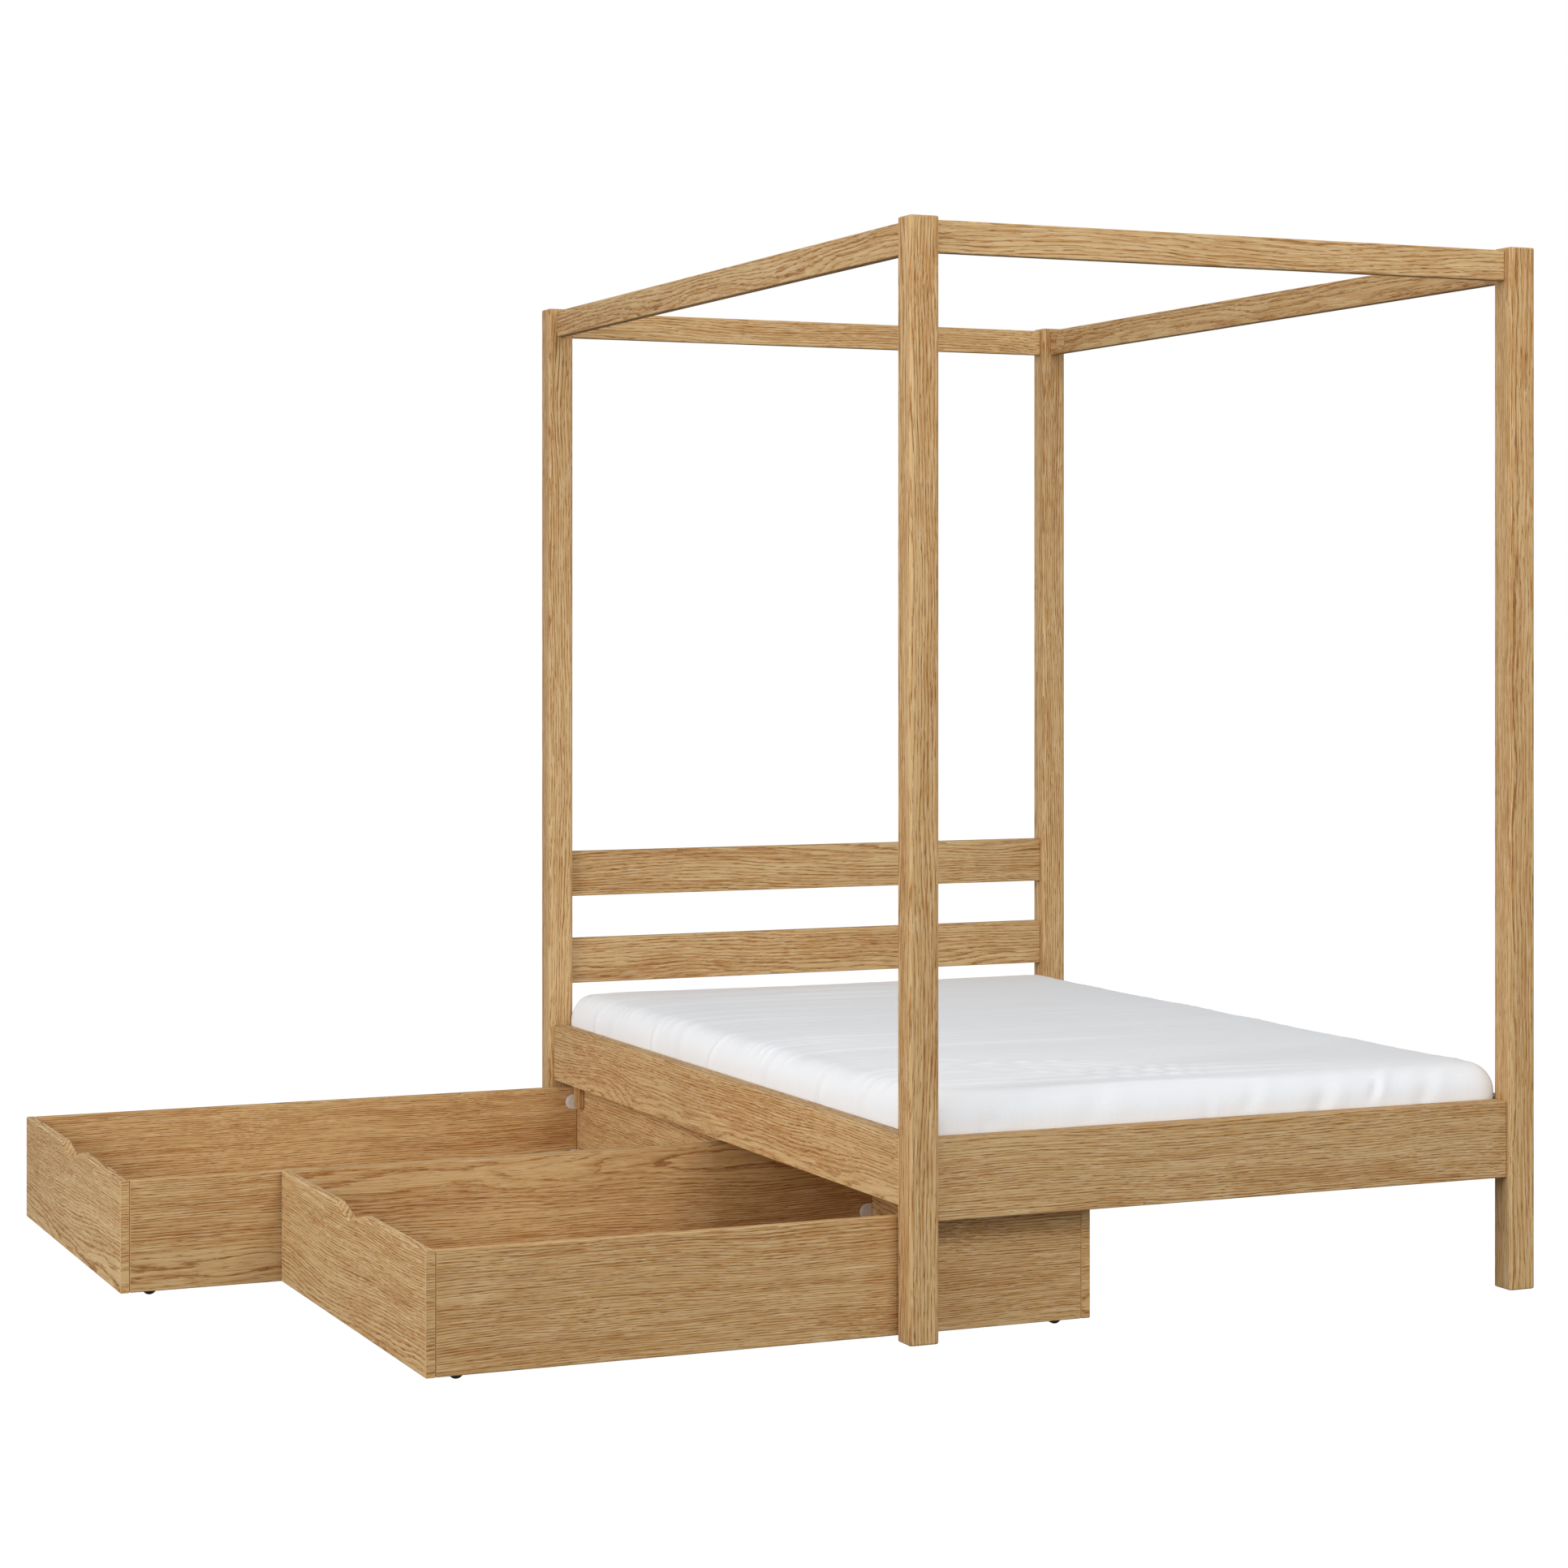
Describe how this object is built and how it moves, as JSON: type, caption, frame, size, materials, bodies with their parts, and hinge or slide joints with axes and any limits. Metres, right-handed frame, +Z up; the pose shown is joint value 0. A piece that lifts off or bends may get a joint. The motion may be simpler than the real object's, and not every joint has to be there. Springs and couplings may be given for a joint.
{
  "type": "four poster bed",
  "caption": "Wooden four poster bed with a canopy frame, a railed headboard, a slatted base, a mattress and wheeled drawers that roll out from under one side.",
  "frame": {"origin": "middle of the underside of the post at the foot end on the drawer side, on the floor", "axes": "+X across the bed away from the drawers, +Y along the bed towards the head, +Z up"},
  "size_m": [2.4578, 2.1, 1.984],
  "materials": {
    "oak": "satin oiled oak",
    "oak_inside": "plain sawn oak",
    "pine": "planed pine",
    "ticking": "white knitted cover",
    "black_plastic": "moulded plastic"
  },
  "bodies": {
    "bed": {"post_foot_left": "oak", "post_foot_right": "oak", "post_head_left": "oak", "post_head_right": "oak", "canopy_rail_foot": "oak", "canopy_rail_head": "oak", "canopy_rail_left": "oak", "canopy_rail_right": "oak", "end_rail_foot": "oak", "end_rail_head": "oak", "side_rail_left": "oak", "side_rail_right": "oak", "headboard_rail_lower": "oak", "headboard_rail_upper": "oak", "cleat_left": "oak_inside", "cleat_right": "oak_inside", "slat_01": "pine", "slat_02": "pine", "slat_03": "pine", "slat_04": "pine", "slat_05": "pine", "slat_06": "pine", "slat_07": "pine", "slat_08": "pine", "slat_09": "pine", "slat_10": "pine", "mattress": "ticking", "open_stop_foot": "oak_inside", "open_stop_head": "oak_inside", "shut_stop": "oak_inside", "cap_left_foot": "oak", "cap_left_head": "oak", "cap_right_foot": "oak", "cap_right_head": "oak"},
    "drawer_head_wheel_front_foot": {"drawer_head_wheel_front_foot": "black_plastic"},
    "drawer_head_wheel_front_head": {"drawer_head_wheel_front_head": "black_plastic"},
    "drawer_head_wheel_rear_foot": {"drawer_head_wheel_rear_foot": "black_plastic"},
    "drawer_head_wheel_rear_head": {"drawer_head_wheel_rear_head": "black_plastic"},
    "drawer_head": {"drawer_head_front": "oak", "drawer_head_back": "oak", "drawer_head_wall_foot": "oak", "drawer_head_wall_head": "oak", "drawer_head_base": "pine", "drawer_head_fork_front_foot": "black_plastic", "drawer_head_fork_front_head": "black_plastic", "drawer_head_fork_rear_foot": "black_plastic", "drawer_head_fork_rear_head": "black_plastic"},
    "drawer_foot_wheel_front_foot": {"drawer_foot_wheel_front_foot": "black_plastic"},
    "drawer_foot_wheel_front_head": {"drawer_foot_wheel_front_head": "black_plastic"},
    "drawer_foot_wheel_rear_foot": {"drawer_foot_wheel_rear_foot": "black_plastic"},
    "drawer_foot_wheel_rear_head": {"drawer_foot_wheel_rear_head": "black_plastic"},
    "drawer_foot": {"drawer_foot_front": "oak", "drawer_foot_back": "oak", "drawer_foot_wall_foot": "oak", "drawer_foot_wall_head": "oak", "drawer_foot_base": "pine", "drawer_foot_fork_front_foot": "black_plastic", "drawer_foot_fork_front_head": "black_plastic", "drawer_foot_fork_rear_foot": "black_plastic", "drawer_foot_fork_rear_head": "black_plastic"}
  },
  "joints": [
    {"name": "drawer_head_slide", "type": "slide", "parent": "bed", "child": "drawer_head", "axis": [1, 0, 0], "range_m": [0, 1.1628]},
    {"name": "drawer_head_wheel_front_foot_spin", "type": "hinge", "parent": "drawer_head", "child": "drawer_head_wheel_front_foot", "pos_m": [-1.1263, 1.0499, 0.014], "axis": [0, 1, 0], "range_deg": [0, 4760]},
    {"name": "drawer_head_wheel_front_head_spin", "type": "hinge", "parent": "drawer_head", "child": "drawer_head_wheel_front_head", "pos_m": [-1.1263, 1.9851, 0.014], "axis": [0, 1, 0], "range_deg": [0, 4760]},
    {"name": "drawer_head_wheel_rear_foot_spin", "type": "hinge", "parent": "drawer_head", "child": "drawer_head_wheel_rear_foot", "pos_m": [-0.0109, 1.0499, 0.014], "axis": [0, 1, 0], "range_deg": [0, 4760]},
    {"name": "drawer_head_wheel_rear_head_spin", "type": "hinge", "parent": "drawer_head", "child": "drawer_head_wheel_rear_head", "pos_m": [-0.0109, 1.9851, 0.014], "axis": [0, 1, 0], "range_deg": [0, 4760]},
    {"name": "drawer_foot_slide", "type": "slide", "parent": "bed", "child": "drawer_foot", "axis": [1, 0, 0], "range_m": [-0.3048, 0.858]},
    {"name": "drawer_foot_wheel_front_foot_spin", "type": "hinge", "parent": "drawer_foot", "child": "drawer_foot_wheel_front_foot", "pos_m": [-0.8215, 0.0579, 0.014], "axis": [0, 1, 0], "range_deg": [-1249, 3513]},
    {"name": "drawer_foot_wheel_front_head_spin", "type": "hinge", "parent": "drawer_foot", "child": "drawer_foot_wheel_front_head", "pos_m": [-0.8215, 0.9931, 0.014], "axis": [0, 1, 0], "range_deg": [-1249, 3513]},
    {"name": "drawer_foot_wheel_rear_foot_spin", "type": "hinge", "parent": "drawer_foot", "child": "drawer_foot_wheel_rear_foot", "pos_m": [0.2939, 0.0579, 0.014], "axis": [0, 1, 0], "range_deg": [-1249, 3513]},
    {"name": "drawer_foot_wheel_rear_head_spin", "type": "hinge", "parent": "drawer_foot", "child": "drawer_foot_wheel_rear_head", "pos_m": [0.2939, 0.9931, 0.014], "axis": [0, 1, 0], "range_deg": [-1249, 3513]}
  ],
  "couplings": [
    {"joint": "drawer_head_wheel_front_foot_spin", "follows": "drawer_head_slide", "rad_per_m": 71.429},
    {"joint": "drawer_head_wheel_front_head_spin", "follows": "drawer_head_slide", "rad_per_m": 71.429},
    {"joint": "drawer_head_wheel_rear_foot_spin", "follows": "drawer_head_slide", "rad_per_m": 71.429},
    {"joint": "drawer_head_wheel_rear_head_spin", "follows": "drawer_head_slide", "rad_per_m": 71.429},
    {"joint": "drawer_foot_wheel_front_foot_spin", "follows": "drawer_foot_slide", "rad_per_m": 71.429},
    {"joint": "drawer_foot_wheel_front_head_spin", "follows": "drawer_foot_slide", "rad_per_m": 71.429},
    {"joint": "drawer_foot_wheel_rear_foot_spin", "follows": "drawer_foot_slide", "rad_per_m": 71.429},
    {"joint": "drawer_foot_wheel_rear_head_spin", "follows": "drawer_foot_slide", "rad_per_m": 71.429}
  ]
}
